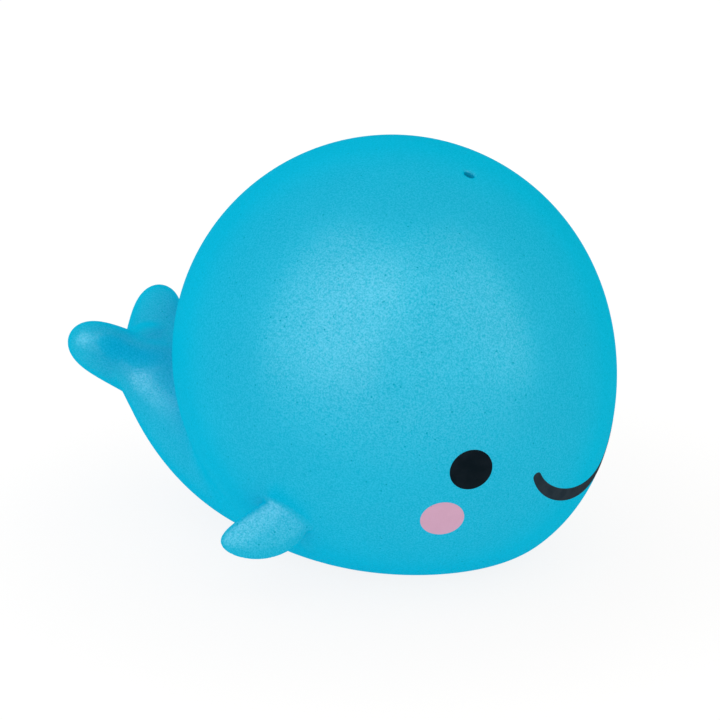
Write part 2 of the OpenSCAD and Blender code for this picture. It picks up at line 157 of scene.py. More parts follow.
def stem_depth(p):
    """About the distance to the tail's stem, whose ring has its half widths run along a curve and ends round.

    The station s of each point is where the plane square to the curve holds it, by Newton from the nearest of 25.
    The gauge is the root of (|x|^n + |y|^n)^(2/n) + z^2, with x, y across and z past the end, over the half widths,
    and n = 2 (1 + STEM_SQUARE (1 - s)). The depth is gauge (gauge - 1) over the gauge times its slope."""
    s0 = np.linspace(0, 1, 25)
    stations = curve(STEM_FROM, STEM_MID, STEM_TO, s0[:, None])
    s = s0[np.argmin(((p[:, None, :] - stations) ** 2).sum(-1), axis=1)][:, None]
    bend = 2 * (STEM_FROM - 2 * STEM_MID + STEM_TO)
    for _ in range(3):
        run = 2 * ((1 - s) * (STEM_MID - STEM_FROM) + s * (STEM_TO - STEM_MID))
        away = p - curve(STEM_FROM, STEM_MID, STEM_TO, s)
        slope = (away @ bend - (run * run).sum(-1))[:, None]
        s = np.clip(s - (away * run).sum(-1)[:, None] / np.minimum(slope, -1.0), 0, 1)
    run = unit(2 * ((1 - s) * (STEM_MID - STEM_FROM) + s * (STEM_TO - STEM_MID)))
    away = p - curve(STEM_FROM, STEM_MID, STEM_TO, s)
    across = np.stack([run[:, 2], 0 * run[:, 0], -run[:, 0]], -1)
    s = s[:, 0]
    half_x, half_y, n = curve(*STEM_WIDTHS, s) / 2, curve(*STEM_THICKS, s) / 2, 2 * (1 + STEM_SQUARE * (1 - s))
    x, y = np.abs(away[:, 1]) / half_x + 1e-6, np.abs((away * across).sum(-1)) / half_y + 1e-6
    z = (away * run).sum(-1) / STEM_CAP
    ring = x**n + y**n
    gauge = np.sqrt(ring ** (2 / n) + z * z)
    slopes = ring ** (2 / n - 1) * np.stack([x ** (n - 1) / half_x, y ** (n - 1) / half_y])
    steep = np.sqrt((slopes**2).sum(0) + (z / STEM_CAP) ** 2) + 1e-6
    return gauge * (gauge - 1) / steep


def fluke_axis(hand):
    """Where a fluke's axis starts, its direction, and its length."""
    a, b = (np.array([x, hand * y, z]) for x, y, z in (FLUKE_ROOT, FLUKE_TIP))
    return a, unit(b - a), float(np.linalg.norm(b - a))


def fluke_depth(p, hand):
    """About the distance to a fluke: its gauge is the root of (distance off its axis / half width)^2 + s^6."""
    a, run, length = fluke_axis(hand)
    s = (p - a) @ run / length
    t = np.clip(s, 0, FLUKE_REACH)
    half = FLUKE_ROOT_R + (FLUKE_TIP_R - FLUKE_ROOT_R) * np.minimum(t, 1)
    off = np.linalg.norm(p - a - (s * length)[:, None] * run, axis=1) / half
    behind = np.maximum(-s, 0) * length / half
    gauge = np.sqrt(off**2 + t**FLUKE_POWER + behind**2) + 1e-6
    along_slope = FLUKE_POWER / 2 * t ** (FLUKE_POWER - 1) / length
    steep = np.sqrt((off / half) ** 2 + along_slope**2 + (behind / half) ** 2) + 1e-6
    return gauge * (gauge - 1) / steep


def on_flank(p):
    """How far a point lies towards the outer flank of its side's fluke, from 0 part way out to 1 at its skin."""
    a, run, _ = fluke_axis(1)
    off = np.stack([p[:, 0], np.abs(p[:, 1]), p[:, 2]], -1) - a
    out = unit(FLANK - (FLANK @ run) * run)
    share = np.clip((off @ out / FLUKE_ROOT_R - FLANK_FROM) / (1 - FLANK_FROM), 0, 1)
    return share * share * (3 - 2 * share)


def flipper_frame(hand):
    """A flipper's middle and its three directions: along it, across its width, and through its thickness."""
    c = (DOME_R + FLIPPER_OUT) * along(hand * FLIPPER_TURN, -FLIPPER_DIP) + [0, 0, DOME_H]
    run = along(hand * (90 + FLIPPER_SWEEP), -FLIPPER_DROOP)
    level = along(hand * FLIPPER_SWEEP, 0)
    up = unit(np.cross(level, run)) * hand
    pitch = math.radians(FLIPPER_PITCH)
    chord = math.cos(pitch) * level - math.sin(pitch) * up
    return c, run, chord, np.cross(chord, run)


def flipper_depth(p, hand):
    """About the distance to an oval leaf whose middle bows down: k0 (k0 - 1) / k1, once a bow of 1 - s^2 is undone."""
    c, run, chord, thick = flipper_frame(hand)
    half = np.array([FLIPPER_L, FLIPPER_W, FLIPPER_T]) / 2
    q = np.stack([(p - c) @ v for v in (run, chord, thick)], -1) / half
    s = np.clip(q[:, 0], -FLIPPER_REACH, FLIPPER_REACH)
    q[:, 1] -= FLIPPER_BOW * (1 - s * s) / half[1]
    lean = q[:, 1] / half[1] * 2 * FLIPPER_BOW * s / half[0] * (np.abs(q[:, 0]) < FLIPPER_REACH)
    gauge = np.linalg.norm(q, axis=1) + 1e-6
    steep = np.linalg.norm(q / half + np.stack([lean, 0 * s, 0 * s], -1), axis=1) + 1e-6
    return gauge * (gauge - 1) / steep


def skin_depth(p):
    """Depth in the whole skin: the forms' depths, each run softly into the next."""
    depth = dome_depth(p)
    back = np.where((p[:, 0] < TAIL_AHEAD) & (p[:, 2] < TAIL_UNDER))[0]
    q = p[back]
    flukes = soft_min(fluke_depth(q, 1), fluke_depth(q, -1), NOTCH_SOFT)
    tail = soft_min(stem_depth(q), flukes, FLUKE_SOFT + FLANK_SOFT * on_flank(q))
    depth[back] = soft_min(depth[back], tail, STEM_SOFT)
    for hand in (-1, 1):
        depth = soft_min(depth, flipper_depth(p, hand), FLIPPER_SOFT)
    return depth


def slope_of(depth, p):
    """Central differences of the depth along X, Y and Z."""
    h = SLOPE_SIDE
    return np.stack([(depth(p + h * e) - depth(p - h * e)) / (2 * h) for e in np.eye(3)], -1)


def settled(depth, p, rounds):
    """Points carried onto the surface where the depth is zero, by Newton along its slope."""
    for _ in range(rounds):
        g = slope_of(depth, p)
        d = depth(p) / np.maximum((g * g).sum(-1), LEAST_SLOPE)
        p = p - np.clip(d, -LONGEST_STEP, LONGEST_STEP)[:, None] * g
    return p


def grid_faces(rows, cols, start=0, closed=True):
    """Quads of a grid of points, row by row, joined round each row where it is closed."""
    i = np.arange(rows - 1)[:, None] * cols + start
    j = np.arange(cols if closed else cols - 1)[None, :]
    k = (j + 1) % cols
    return np.stack([i + j, i + k, i + k + cols, i + j + cols], -1).reshape(-1, 4)


def capped(first, rings, last):
    """Points and faces of a closed skin: a point, rows of rings, and a point."""
    n, m, _ = rings.shape
    points = np.concatenate([[first], rings.reshape(-1, 3), [last]])
    j, k = np.arange(m), (np.arange(m) + 1) % m
    end = 1 + (n - 1) * m
    fans = np.stack([0 * j, 1 + k, 1 + j], -1), np.stack([end + j, end + k, 0 * j + end + m], -1)
    return points, [*map(list, grid_faces(n, m, 1)), *map(list, fans[0]), *map(list, fans[1])]


def piece(name, points, faces, material=None, smooth=True):
    """A mesh object from points in millimetres, at the origin, with its place in its mesh."""
    mesh = bpy.data.meshes.new(name)
    mesh.from_pydata((np.asarray(points) * MM).tolist(), [], [list(map(int, f)) for f in faces])
    mesh.validate()
    mesh.polygons.foreach_set("use_smooth", [smooth] * len(mesh.polygons))
    mesh.update()
    made = bpy.data.objects.new(name, mesh)
    bpy.context.scene.collection.objects.link(made)
    if material is not None:
        mesh.materials.append(material)
    return made


def squarer(x, more):
    """Sines or cosines to the power 1 / (1 + more), which makes an oval that much squarer."""
    return np.sign(x) * np.abs(x) ** (1 / (1 + more))


def rings_about(centre, u, v, a, b, m, more=0.0):
    """Rings: centre + a cos(t) u + b sin(t) v, one row for each centre, squarer by more."""
    t = np.linspace(0, 2 * np.pi, m, endpoint=False)[None, :]
    a, b, more = (np.broadcast_to(x, len(centre))[:, None] for x in (a, b, more))
    wide, high = a * squarer(np.cos(t), more), b * squarer(np.sin(t), more)
    u, v = np.broadcast_to(u, centre.shape), np.broadcast_to(v, centre.shape)
    return centre[:, None] + wide[..., None] * u[:, None] + high[..., None] * v[:, None]


def dome_grid(out, floor, n=90, m=160):
    """The dome on a grid of lifts and turns, closed at its poles."""
    lift = np.linspace(90, -90, n + 2)[1:-1, None]
    turn = np.linspace(0, 360, m, endpoint=False)[None, :]
    top, bottom = (dome_skin(along(0, pole), out, floor) for pole in (90, -90))
    return capped(top, dome_skin(along(turn, lift), out, floor), bottom)


def stem_grid(out, n=50, m=64):
    """Ovals carried along the stem's curve, then a round end."""
    s = np.linspace(0, 1, n)[:, None]
    q = np.linspace(0, 90, 9)[1:-1, None]
    run = unit((1 - s) * (STEM_MID - STEM_FROM) + s * (STEM_TO - STEM_MID))
    centre = curve(STEM_FROM, STEM_MID, STEM_TO, s)
    end = centre[-1] + (STEM_CAP + out) * np.sin(np.radians(q)) * run[-1]
    half_w, half_t = (curve(*x, s[:, 0]) / 2 + out for x in (STEM_WIDTHS, STEM_THICKS))
    fade = np.cos(np.radians(q[:, 0]))
    centre, run = np.concatenate([centre, end]), np.concatenate([run, np.repeat(run[-1:], len(q), 0)])
    across = np.stack([run[:, 2], 0 * run[:, 0], -run[:, 0]], -1)
    wide, high = np.concatenate([half_w, half_w[-1] * fade]), np.concatenate([half_t, half_t[-1] * fade])
    more = np.concatenate([STEM_SQUARE * (1 - s[:, 0]), 0 * fade])
    rings = rings_about(centre, [0.0, 1.0, 0.0], across, wide, high, m, more)
    return capped(STEM_FROM, rings, STEM_TO + (STEM_CAP + out) * run[-1])


def fluke_grid(hand, out, n=24, m=40):
    """Rings along a fluke's axis: straight half widths times the root of 1 - s^6, with a round end at the root."""
    a, run, length = fluke_axis(hand)
    u = unit(np.cross(run, [0, 0, 1]))
    s = np.sin(np.linspace(0, np.pi / 2, n + 1))[:-1]
    root, tip = FLUKE_ROOT_R + out, FLUKE_TIP_R + out
    q = np.radians(np.linspace(0, 90, 8)[1:-1])
    centre = np.concatenate([a - root * np.cos(q)[:, None] * run, a + s[:, None] * (length + out) * run])
    half = np.concatenate([root * np.sin(q), (root + (tip - root) * s) * np.sqrt(1 - s**FLUKE_POWER)])
    rings = rings_about(centre, u, np.cross(u, run), half, half, m)
    return capped(a - root * run, rings, a + (length + out) * run)


def flipper_grid(hand, n=40, m=48):
    """Ovals along a flipper, both half widths times the root of 1 - s^2, and their middles bowed by 1 - s^2."""
    c, run, chord, thick = flipper_frame(hand)
    s = -np.cos(np.linspace(0, np.pi, n + 2)[1:-1])
    fade = np.sqrt(1 - s * s)
    centre = c + s[:, None] * FLIPPER_L / 2 * run + FLIPPER_BOW * (fade * fade)[:, None] * chord
    rings = rings_about(centre, chord, thick, FLIPPER_W / 2 * fade, FLIPPER_T / 2 * fade, m)
    return capped(c - FLIPPER_L / 2 * run, rings, c + FLIPPER_L / 2 * run)


def fused(forms, voxel):
    """The forms joined into one even skin of quads by a voxel remesh: its points in millimetres and its quads."""
    bodies = [piece(f"form_{i}", points, faces) for i, (points, faces) in enumerate(forms)]
    body = bodies[0]
    chosen = {"selected_objects": bodies, "selected_editable_objects": bodies}
    with bpy.context.temp_override(active_object=body, object=body, **chosen):
        bpy.ops.object.join()
    remesh = body.modifiers.new("even", "REMESH")
    remesh.mode, remesh.voxel_size, remesh.adaptivity = "VOXEL", voxel * MM, 0
    depsgraph = bpy.context.evaluated_depsgraph_get()
    mesh = body.evaluated_get(depsgraph).to_mesh()
    points = np.zeros(len(mesh.vertices) * 3)
    mesh.vertices.foreach_get("co", points)
    corners = np.zeros(len(mesh.loops), np.int64)
    mesh.loops.foreach_get("vertex_index", corners)
    assert len(mesh.loops) == 4 * len(mesh.polygons)
    body.evaluated_get(depsgraph).to_mesh_clear()
    bpy.data.objects.remove(body)
    return points.reshape(-1, 3) / MM, corners.reshape(-1, 4)


def evened(points, quads, depth, rounds):
    """Each point moved half way to the mean of its neighbours, then back onto the surface, a few times over."""
    edges = np.concatenate([quads[:, [0, 1]], quads[:, [1, 2]], quads[:, [2, 3]], quads[:, [3, 0]]])
    a, b = edges[:, 0], edges[:, 1]
    count = np.bincount(a, minlength=len(points)).astype(float)
    for _ in range(rounds):
        mean = np.stack([np.bincount(a, points[b, i], len(points)) for i in range(3)], -1) / count[:, None]
        points = settled(depth, points + 0.5 * (mean - points), rounds=1)
    return points


def rim_of(faces):
    """Indices of the points on the faces' open rim: ends of the edges that run only one way."""
    edges = np.concatenate([faces[:, [i, (i + 1) % 4]] for i in range(4)])
    size = faces.max() + 1
    keys, back = edges[:, 0] * size + edges[:, 1], edges[:, 1] * size + edges[:, 0]
    return np.unique(edges[~np.isin(keys, back)])


def round_axis(points, axis):
    """Angle round an axis through the dome's centre, and distance from it."""
    u = unit(np.cross(axis, [0.0, 1.0, 0.0]))
    v = np.cross(axis, u)
    q = points - [0, 0, DOME_H]
    return np.arctan2(q @ v, q @ u), np.hypot(q @ v, q @ u), u, v


def zipped(a, angle_a, b, angle_b):
    """Triangles between two rings of points: each ring's edges in turn, by the angle of their middles."""
    order_a, order_b = np.argsort(angle_a), np.argsort(angle_b)
    a, ta, b, tb = a[order_a], angle_a[order_a], b[order_b], angle_b[order_b]

    def middles(t):
        ahead = np.roll(t, -1)
        ahead[-1] += 2 * np.pi
        return (t + ahead) / 2

    ma, mb = middles(ta), middles(tb)
    ja, jb = np.searchsorted(mb, ma) % len(b), np.searchsorted(ma, mb) % len(a)
    first = np.stack([a, np.roll(a, -1), b[ja]], -1)
    second = np.stack([b, a[jb], np.roll(b, -1)], -1)
    return np.concatenate([first, second])


def lathe(profile, axis, m):
    """Points of a profile of (radius, height from the dome's centre) turned round an axis through that centre."""
    _, _, u, v = round_axis(np.zeros((1, 3)), axis)
    t = np.linspace(-np.pi, np.pi, m, endpoint=False)
    radius, height = np.asarray(profile, float).T[:, :, None, None]
    return radius * circle(t, u, v)[None] + height * axis + [0, 0, DOME_H], t


def rounded(profile, radii):
    """A profile whose corners are each cut by an arc-like curve of the given reach, in five steps."""
    out = [profile[0]]
    for before, at, after, r in zip(profile[:-2], profile[1:-1], profile[2:], radii):
        before, at, after = (np.array(x, float) for x in (before, at, after))
        if r == 0:
            out.append(at)
            continue
        a, b = at + unit(before - at) * r, at + unit(after - at) * r
        out.extend(curve(a, at, b, s) for s in np.linspace(0, 1, 5))
    out.append(profile[-1])
    return [tuple(x) for x in out]


DOWN = np.array([0.0, 0.0, -1.0])
BLOW = along(0, BLOW_LIFT)


def on_flippers(bm):
    """A mesh's points in millimetres, and which of them lie on the outside of a flipper, clear of the dome."""
    points = np.array([v.co[:] for v in bm.verts]) / MM
    near = np.minimum(flipper_depth(points, 1), flipper_depth(points, -1)) < FLIPPER_NEAR
    return points, near & (skin_depth(points) > SKIN_NEAR) & (dome_depth(points) > DOME_CLEAR)


def refine_flippers(bm):
    """Cuts the quads of the thin flippers in four, and settles their points on the skin again."""
    _, chosen = on_flippers(bm)
    edges = [e for e in bm.edges if chosen[e.verts[0].index] and chosen[e.verts[1].index]]
    bmesh.ops.subdivide_edges(bm, edges=edges, cuts=1, use_grid_fill=True)
    bm.verts.ensure_lookup_table()
    points, fresh = on_flippers(bm)
    where = np.where(fresh)[0]
    for i, place in zip(where.tolist(), settled(skin_depth, points[where], rounds=3) * MM):
        bm.verts[i].co = place


def opened(points, quads, seat_r):
    """The quads that stay once the seat's opening, low down, and the blowhole's, high up, are cut out."""
    middle = points[quads].mean(1)
    low = middle[:, 2] < HALF_WAY_UP
    seat = low & (np.hypot(middle[:, 0], middle[:, 1]) < seat_r + CUT_MARGIN)
    blowhole = ~low & (round_axis(middle, BLOW)[1] < BLOW_CUT_R)
    return quads[~(seat | blowhole)]


def rims_of(points, quads):
    """Indices of the points on the two openings' rims: the seat's and the blowhole's."""
    rim = rim_of(quads)
    low = points[rim, 2] < HALF_WAY_UP
    return rim[low], rim[~low]


def seat_profile():
    """Radii and heights of the squeaker's seat, from the base's face to the inside of the base's wall."""
    corners = [
        (SEAT_EDGE_R, 0), (SEAT_R, 0), (SEAT_R, SEAT_Z), (HOLE_R, SEAT_Z), (HOLE_R, LIP_Z),
        (PAD_R, LIP_Z), (PAD_R, BASE_WALL), (PAD_EDGE_R, BASE_WALL + PAD_RISE),
    ]
    return rounded([(r, DOME_H - z) for r, z in corners], SEAT_ROUNDS)


def bore_profile():
    """Radii and heights of the blowhole's dimple and bore, from the dome's outside to its inside."""
    peak = float(np.linalg.norm(dome_skin(BLOW) - [0, 0, DOME_H]))

    def top(r):
        """The dome's height along the blowhole's axis, r away from it."""
        return peak - (DOME_R - math.sqrt(DOME_R**2 - r * r))

    mouth = [(r, top(r)) for r in (*RUN_IN, DIMPLE_D / 2)]
    walls = [(BLOW_D / 2, top(0) - DIMPLE_H), (BLOW_D / 2, top(0) - WALL), (BORE_FOOT_R, top(BORE_FOOT_R) - WALL)]
    return rounded(mouth + walls, BORE_ROUNDS)


def whale_skin(material):
    """The hollow skin: the outside, the inside, the squeaker's seat in the base, and the blowhole's bore."""
    flukes = [fluke_grid(hand, 0) for hand in (-1, 1)]
    flippers = [flipper_grid(hand) for hand in (-1, 1)]
    forms = [dome_grid(0, -BASE_LIP), stem_grid(0), *flukes, *flippers]
    points, quads = fused(forms, VOXEL)
    points = settled(skin_depth, points, rounds=4)
    points = evened(points, quads, skin_depth, rounds=4)
    points = settled(skin_depth, points, rounds=2)
    points[:, 2] = np.maximum(points[:, 2], 0)

    flukes = [fluke_grid(hand, -WALL) for hand in (-1, 1)]
    hollow, hollow_quads = fused([dome_grid(-WALL, BASE_WALL, n=60, m=96), stem_grid(-WALL), *flukes], HOLLOW_VOXEL)
    hollow[:, 2] = np.maximum(hollow[:, 2], BASE_WALL)

    quads = opened(points, quads, SEAT_CUT_R)
    hollow_quads = opened(hollow, hollow_quads[:, ::-1], HOLLOW_CUT_R)
    rims, hollow_rims = rims_of(points, quads), rims_of(hollow, hollow_quads)
    angle, _, u, v = round_axis(points[rims[0]], DOWN)
    points[rims[0]] = SEAT_CUT_R * circle(angle, u, v)
    angle, _, u, v = round_axis(points[rims[1]], BLOW)
    sine = BLOW_CUT_R / DOME_R
    points[rims[1]] = dome_skin(unit(sine * circle(angle, u, v) + math.sqrt(1 - sine**2) * BLOW))

    seat, seat_angle = lathe(seat_profile(), DOWN, SEAT_POINTS)
    bore, bore_angle = lathe(bore_profile(), BLOW, BORE_POINTS)
    blocks = [points, hollow, seat.reshape(-1, 3), bore.reshape(-1, 3)]
    _, hollow_start, seat_start, bore_start = np.cumsum([0] + [len(block) for block in blocks[:-1]])
    faces = quads.tolist() + (hollow_quads + hollow_start).tolist()
    turned = (seat, seat_angle, seat_start, DOWN), (bore, bore_angle, bore_start, BLOW)
    for rows, _, start, _ in turned:
        faces += grid_faces(*rows.shape[:2], start).tolist()
    for (rows, angles, start, axis), outer, inner in zip(turned, rims, hollow_rims):
        count, around, _ = rows.shape
        first = start + np.arange(around)
        last = first + (count - 1) * around
        faces += zipped(outer, round_axis(points[outer], axis)[0], first, angles).tolist()
        faces += zipped(last, angles, hollow_start + inner, round_axis(hollow[inner], axis)[0]).tolist()
    skin = piece("whale_skin", np.concatenate(blocks), faces, material)
    bm = bmesh.new()
    bm.from_mesh(skin.data)
    loose = [v for v in bm.verts if not v.link_faces]
    bmesh.ops.delete(bm, geom=loose, context="VERTS")
    refine_flippers(bm)
    bmesh.ops.recalc_face_normals(bm, faces=bm.faces)
    triangles = sum(len(f.verts) - 2 for f in bm.faces)
    open_edges = sum(not e.is_manifold for e in bm.edges)
    volume = bm.calc_volume(signed=True) * 1e6
    print("skin", len(bm.verts), "points", triangles, "triangles", open_edges, "open edges", "volume", volume)
    bm.to_mesh(skin.data)
    bm.free()
    return skin


def film(name, middle, outward, half, material):
    """A closed film of ink on the skin: from its outline inwards, half widths and heights along a rounded edge.

    A point lies at angle a from its middle line in its outward direction: cos(a) middle + sin(a) outward."""
    face_r = float(np.linalg.norm(dome_skin(middle[0]) - [0, 0, DOME_H]))
    edge = INK_EDGE[-1][0]
    steps = np.linspace(0, 1, 8)[1:]
    inset = [np.full(len(half), x) for x, _ in INK_EDGE] + [edge + (half - edge) * x for x in steps]
    height = [z for _, z in INK_EDGE] + [INK_T] * len(steps)
    inset = [half * x for x in steps[::-1]] + inset
    height = [-INK_SUNK] * len(steps) + height
    turn = np.arcsin((half - np.stack(inset)) / face_r)[..., None]
    rows = np.cos(turn) * middle + np.sin(turn) * outward
    points = dome_skin(unit(rows), np.array(height)[:, None])
    made = piece(name, points.reshape(-1, 3), grid_faces(*points.shape[:2]), material)
    tidy_mesh(made)
    return made


def tidy_mesh(made):
    """Merges doubled points and turns the faces outwards."""
    bm = bmesh.new()
    bm.from_mesh(made.data)
    bmesh.ops.remove_doubles(bm, verts=bm.verts, dist=1e-7)
    bmesh.ops.recalc_face_normals(bm, faces=bm.faces)
    bm.to_mesh(made.data)
    bm.free()


def round_print(name, turn, dip, d, material, m=72):
    """A round film of ink: its middle, and outward directions all round it."""
    c, east = along(turn, -dip), along(turn + 90, 0)
    north = np.cross(c, east)
    t = np.linspace(0, 2 * np.pi, m, endpoint=False)
    return film(name, np.repeat(c[None], m, 0), circle(t, east, north), np.full(m, d / 2), material)


def smile(material, n=120, m=14):
    """The mouth's film: out along its lower side, round its end, back along its upper side, and round its start.

    Its middle line turns as sin(arc s) / sin(arc) and rises as (1 - cos(arc s)) / (1 - cos(arc))."""
    face_r = float(np.linalg.norm(dome_skin(along(0, -MOUTH_DIP)) - [0, 0, DOME_H]))
    half_turn = math.degrees(math.asin((MOUTH_W - MOUTH_END_LINE) / 2 / face_r))
    rise = math.degrees(math.asin(MOUTH_RISE / face_r))
    arc = math.radians(MOUTH_ARC)

    def line(s):
        lift = rise * (1 - np.cos(arc * s)) / (1 - math.cos(arc)) - MOUTH_DIP
        return along(half_turn * np.sin(arc * s) / math.sin(arc), lift)

    side, cap = np.linspace(-1, 1, n), np.linspace(0, np.pi, m + 2)[1:-1]
    s = np.concatenate([side, np.ones(m), side[::-1], -np.ones(m)])
    lean = np.concatenate([np.full(n, 0.0), cap, np.full(n, np.pi), np.pi + cap])[:, None]
    middle = line(s)
    run = unit(line(s + 1e-3) - line(s - 1e-3))
    outward = np.cos(lean) * unit(np.cross(middle, run)) + np.sin(lean) * run
    half = (MOUTH_LINE + (MOUTH_END_LINE - MOUTH_LINE) * s * s) / 2
    return film("mouth_ink", middle, outward, half, material)


def adder(tree):
    """A short way to add a shader node, with its settings and its inputs: values or other nodes' outputs."""

    def add(kind, inputs=None, **settings):
        node = tree.nodes.new(kind if kind.startswith("Node") else "ShaderNode" + kind)
        for key, value in settings.items():
            setattr(node, key, value)
        for key, value in (inputs or {}).items():
            if isinstance(value, bpy.types.NodeSocket):
                tree.links.new(value, node.inputs[key])
            else:
                node.inputs[key].default_value = value
        return node

    return add


def effect(name, numbers, outputs):
    """An empty shader group that takes a vector and named numbers, with its adder and its two end nodes."""
    tree = bpy.data.node_groups.new(name, "ShaderNodeTree")
    tree.interface.new_socket("Vector", in_out="INPUT", socket_type="NodeSocketVector")
    for key, value in numbers.items():
        tree.interface.new_socket(key, in_out="INPUT", socket_type="NodeSocketFloat").default_value = value
    for key in outputs:
        tree.interface.new_socket(key, in_out="OUTPUT", socket_type="NodeSocketFloat")
    add = adder(tree)
    return tree, add, add("NodeGroupInput"), add("NodeGroupOutput")


def worked(add, operation, *values):
    """What a Math node makes of the values."""
    return add("Math", dict(enumerate(values)), operation=operation).outputs[0]


def scaled(add, vector, scale):
    """A vector times a number."""
    return add("VectorMath", {0: vector, "Scale": scale}, operation="SCALE").outputs[0]


def in_grains(add, source):
    """A group's vector counted in grains of its size, which is given in millimetres."""
    return scaled(add, source.outputs["Vector"], worked(add, "DIVIDE", 1 / MM, source.outputs["Size"]))


def stretched(add, value, low, high, start, end, way="LINEAR"):
    """The value carried evenly from start to end as it goes from low to high, and held at them beyond."""
    inputs = {"Value": value, "From Min": low, "From Max": high, "To Min": start, "To Max": end}
    return add("MapRange", inputs, interpolation_type=way).outputs[0]


def ramp(add, value, low, high, start=0.0, end=1.0):
    """The value carried smoothly from start to end as it goes from low to high."""
    return stretched(add, value, low, high, start, end, "SMOOTHSTEP")


def mould_grain():
    """The fine sand of the mould: its height, and the odd pinhole, in grains of a size in millimetres."""
    tree, add, source, sink = effect("mould_grain", {"Size": 0.3, "Pinholes": 0.1}, ("Height", "Pits"))
    vector = in_grains(add, source)
    sand = add("TexNoise", {"Vector": vector, "Scale": 1.0, "Detail": 2.0, "Roughness": 0.6})
    cells = add("TexVoronoi", {"Vector": vector, "Scale": 0.28}, feature="F1")
    dot = ramp(add, cells.outputs["Distance"], 0.05, 0.2, 1.0, 0.0)
    pick = add("SeparateColor", {0: cells.outputs["Color"]})
    chosen = worked(add, "LESS_THAN", pick.outputs[0], source.outputs["Pinholes"])
    pits = worked(add, "MULTIPLY", dot, chosen)
    tree.links.new(worked(add, "SUBTRACT", sand.outputs["Fac"], pits), sink.inputs["Height"])
    tree.links.new(pits, sink.inputs["Pits"])
    return tree


def soft_mottle():
    """Broad uneven tone, from 0 to 1, in patches of a size in millimetres."""
    tree, add, source, sink = effect("soft_mottle", {"Size": 9.0}, ("Tone",))
    vector = in_grains(add, source)
    patches = add("TexNoise", {"Vector": vector, "Scale": 1.0, "Detail": 3.0, "Roughness": 0.55})
    tree.links.new(ramp(add, patches.outputs["Fac"], 0.3, 0.7), sink.inputs["Tone"])
    return tree


def rub_marks():
    """Short faint scuffs that lie several ways, as a mask, in lengths of a size in millimetres."""
    tree, add, source, sink = effect("rub_marks", {"Size": 3.0, "Amount": 0.5}, ("Marks",))
    vector = in_grains(add, source)
    marks = []
    for turn, stretch in ((0.4, 14.0), (1.5, 19.0), (2.5, 11.0)):
        laid = add("Mapping", {"Vector": vector, "Rotation": (0.3, turn, turn), "Scale": (1.0, stretch, stretch)})
        grooves = add("TexNoise", {"Vector": laid.outputs[0], "Scale": 1.0, "Detail": 1.0})
        marks.append(ramp(add, grooves.outputs["Fac"], 0.66, 0.76))
    most = worked(add, "MAXIMUM", worked(add, "MAXIMUM", marks[0], marks[1]), marks[2])
    tree.links.new(worked(add, "MULTIPLY", most, source.outputs["Amount"]), sink.inputs["Marks"])
    return tree


GRAIN, MOTTLE, RUBS = mould_grain(), soft_mottle(), rub_marks()

# How far the skin is turned from the eye where its sheen starts to fade and where it is faintest, from what share of
# the sheen, and to what share
RIM = 0.25, 0.7, 1.0, 0.1
# The heights of the grain that its specks of colour and of sheen run between
SPECK_GRAIN, SHEEN_GRAIN = (0.38, 0.62), (0.36, 0.64)
# The length of rub marks in millimetres, how dark a pinhole's colour is (painted shade in the pit), and how much
# rougher it is
RUB_LENGTH, PIT_PAINTED_SHADE, PIT_ROUGH = 2.5, 0.7, 0.3


def finish(
    name, colour, deep, worn, roughness, grain, pinholes, depth, patch, rub, speckle=0.01, sheen=None, **plain
):
    """A moulded or printed finish.

    Its colour goes from deep to colour by broad patches and up and down by the grain (speckle is the share). It is
    darker in pinholes, painted shade in the pits, and worn in rub marks. Its roughness goes over its range by the same
    patches. Its bump is the mould's grain, depth millimetres high. Where it has a sheen, that is a coat whose weight
    goes over its range by the grain, is lost in the pinholes, and fades towards the outline as RIM says."""
    made = bpy.data.materials.new(name)
    made.use_nodes = True
    tree = made.node_tree
    add, shader = adder(tree), tree.nodes["Principled BSDF"]
    place = add("TexCoord").outputs["Object"]

    def placed(group, **numbers):
        return add("Group", {"Vector": place, **numbers}, node_tree=group).outputs

    def mixed(factor, a, b):
        return add("Mix", {0: factor, 6: a, 7: b}, data_type="RGBA").outputs[2]

    sand = placed(GRAIN, Size=grain, Pinholes=pinholes)
    tone = placed(MOTTLE, Size=patch)["Tone"]
    marks = placed(RUBS, Size=RUB_LENGTH, Amount=rub)["Marks"]
    speck = stretched(add, sand["Height"], *SPECK_GRAIN, 1 - speckle, 1 + speckle)
    patchy = scaled(add, mixed(tone, (*deep, 1), (*colour, 1)), speck)
    # Pinholes darkened in colour: painted shade in the pits
    pitted = mixed(sand["Pits"], patchy, (*(PIT_PAINTED_SHADE * x for x in deep), 1))
    tree.links.new(mixed(marks, pitted, (*worn, 1)), shader.inputs["Base Color"])
    rough = stretched(add, tone, 0.0, 1.0, *roughness)
    tree.links.new(worked(add, "MULTIPLY_ADD", sand["Pits"], PIT_ROUGH, rough), shader.inputs["Roughness"])
    if sheen:
        grainy = stretched(add, sand["Height"], *SHEEN_GRAIN, *sheen)
        whole = worked(add, "SUBTRACT", 1.0, sand["Pits"])
        inward = ramp(add, add("LayerWeight", {"Blend": 0.5}).outputs["Facing"], *RIM)
        weight = worked(add, "MULTIPLY", worked(add, "MULTIPLY", grainy, whole), inward)
        tree.links.new(weight, shader.inputs["Coat Weight"])
    bump = add("Bump", {"Height": sand["Height"], "Distance": depth * MM, "Strength": 1.0})
    tree.links.new(bump.outputs[0], shader.inputs["Normal"])
    for key, value in plain.items():
        shader.inputs[key.replace("_", " ")].default_value = value
    return made


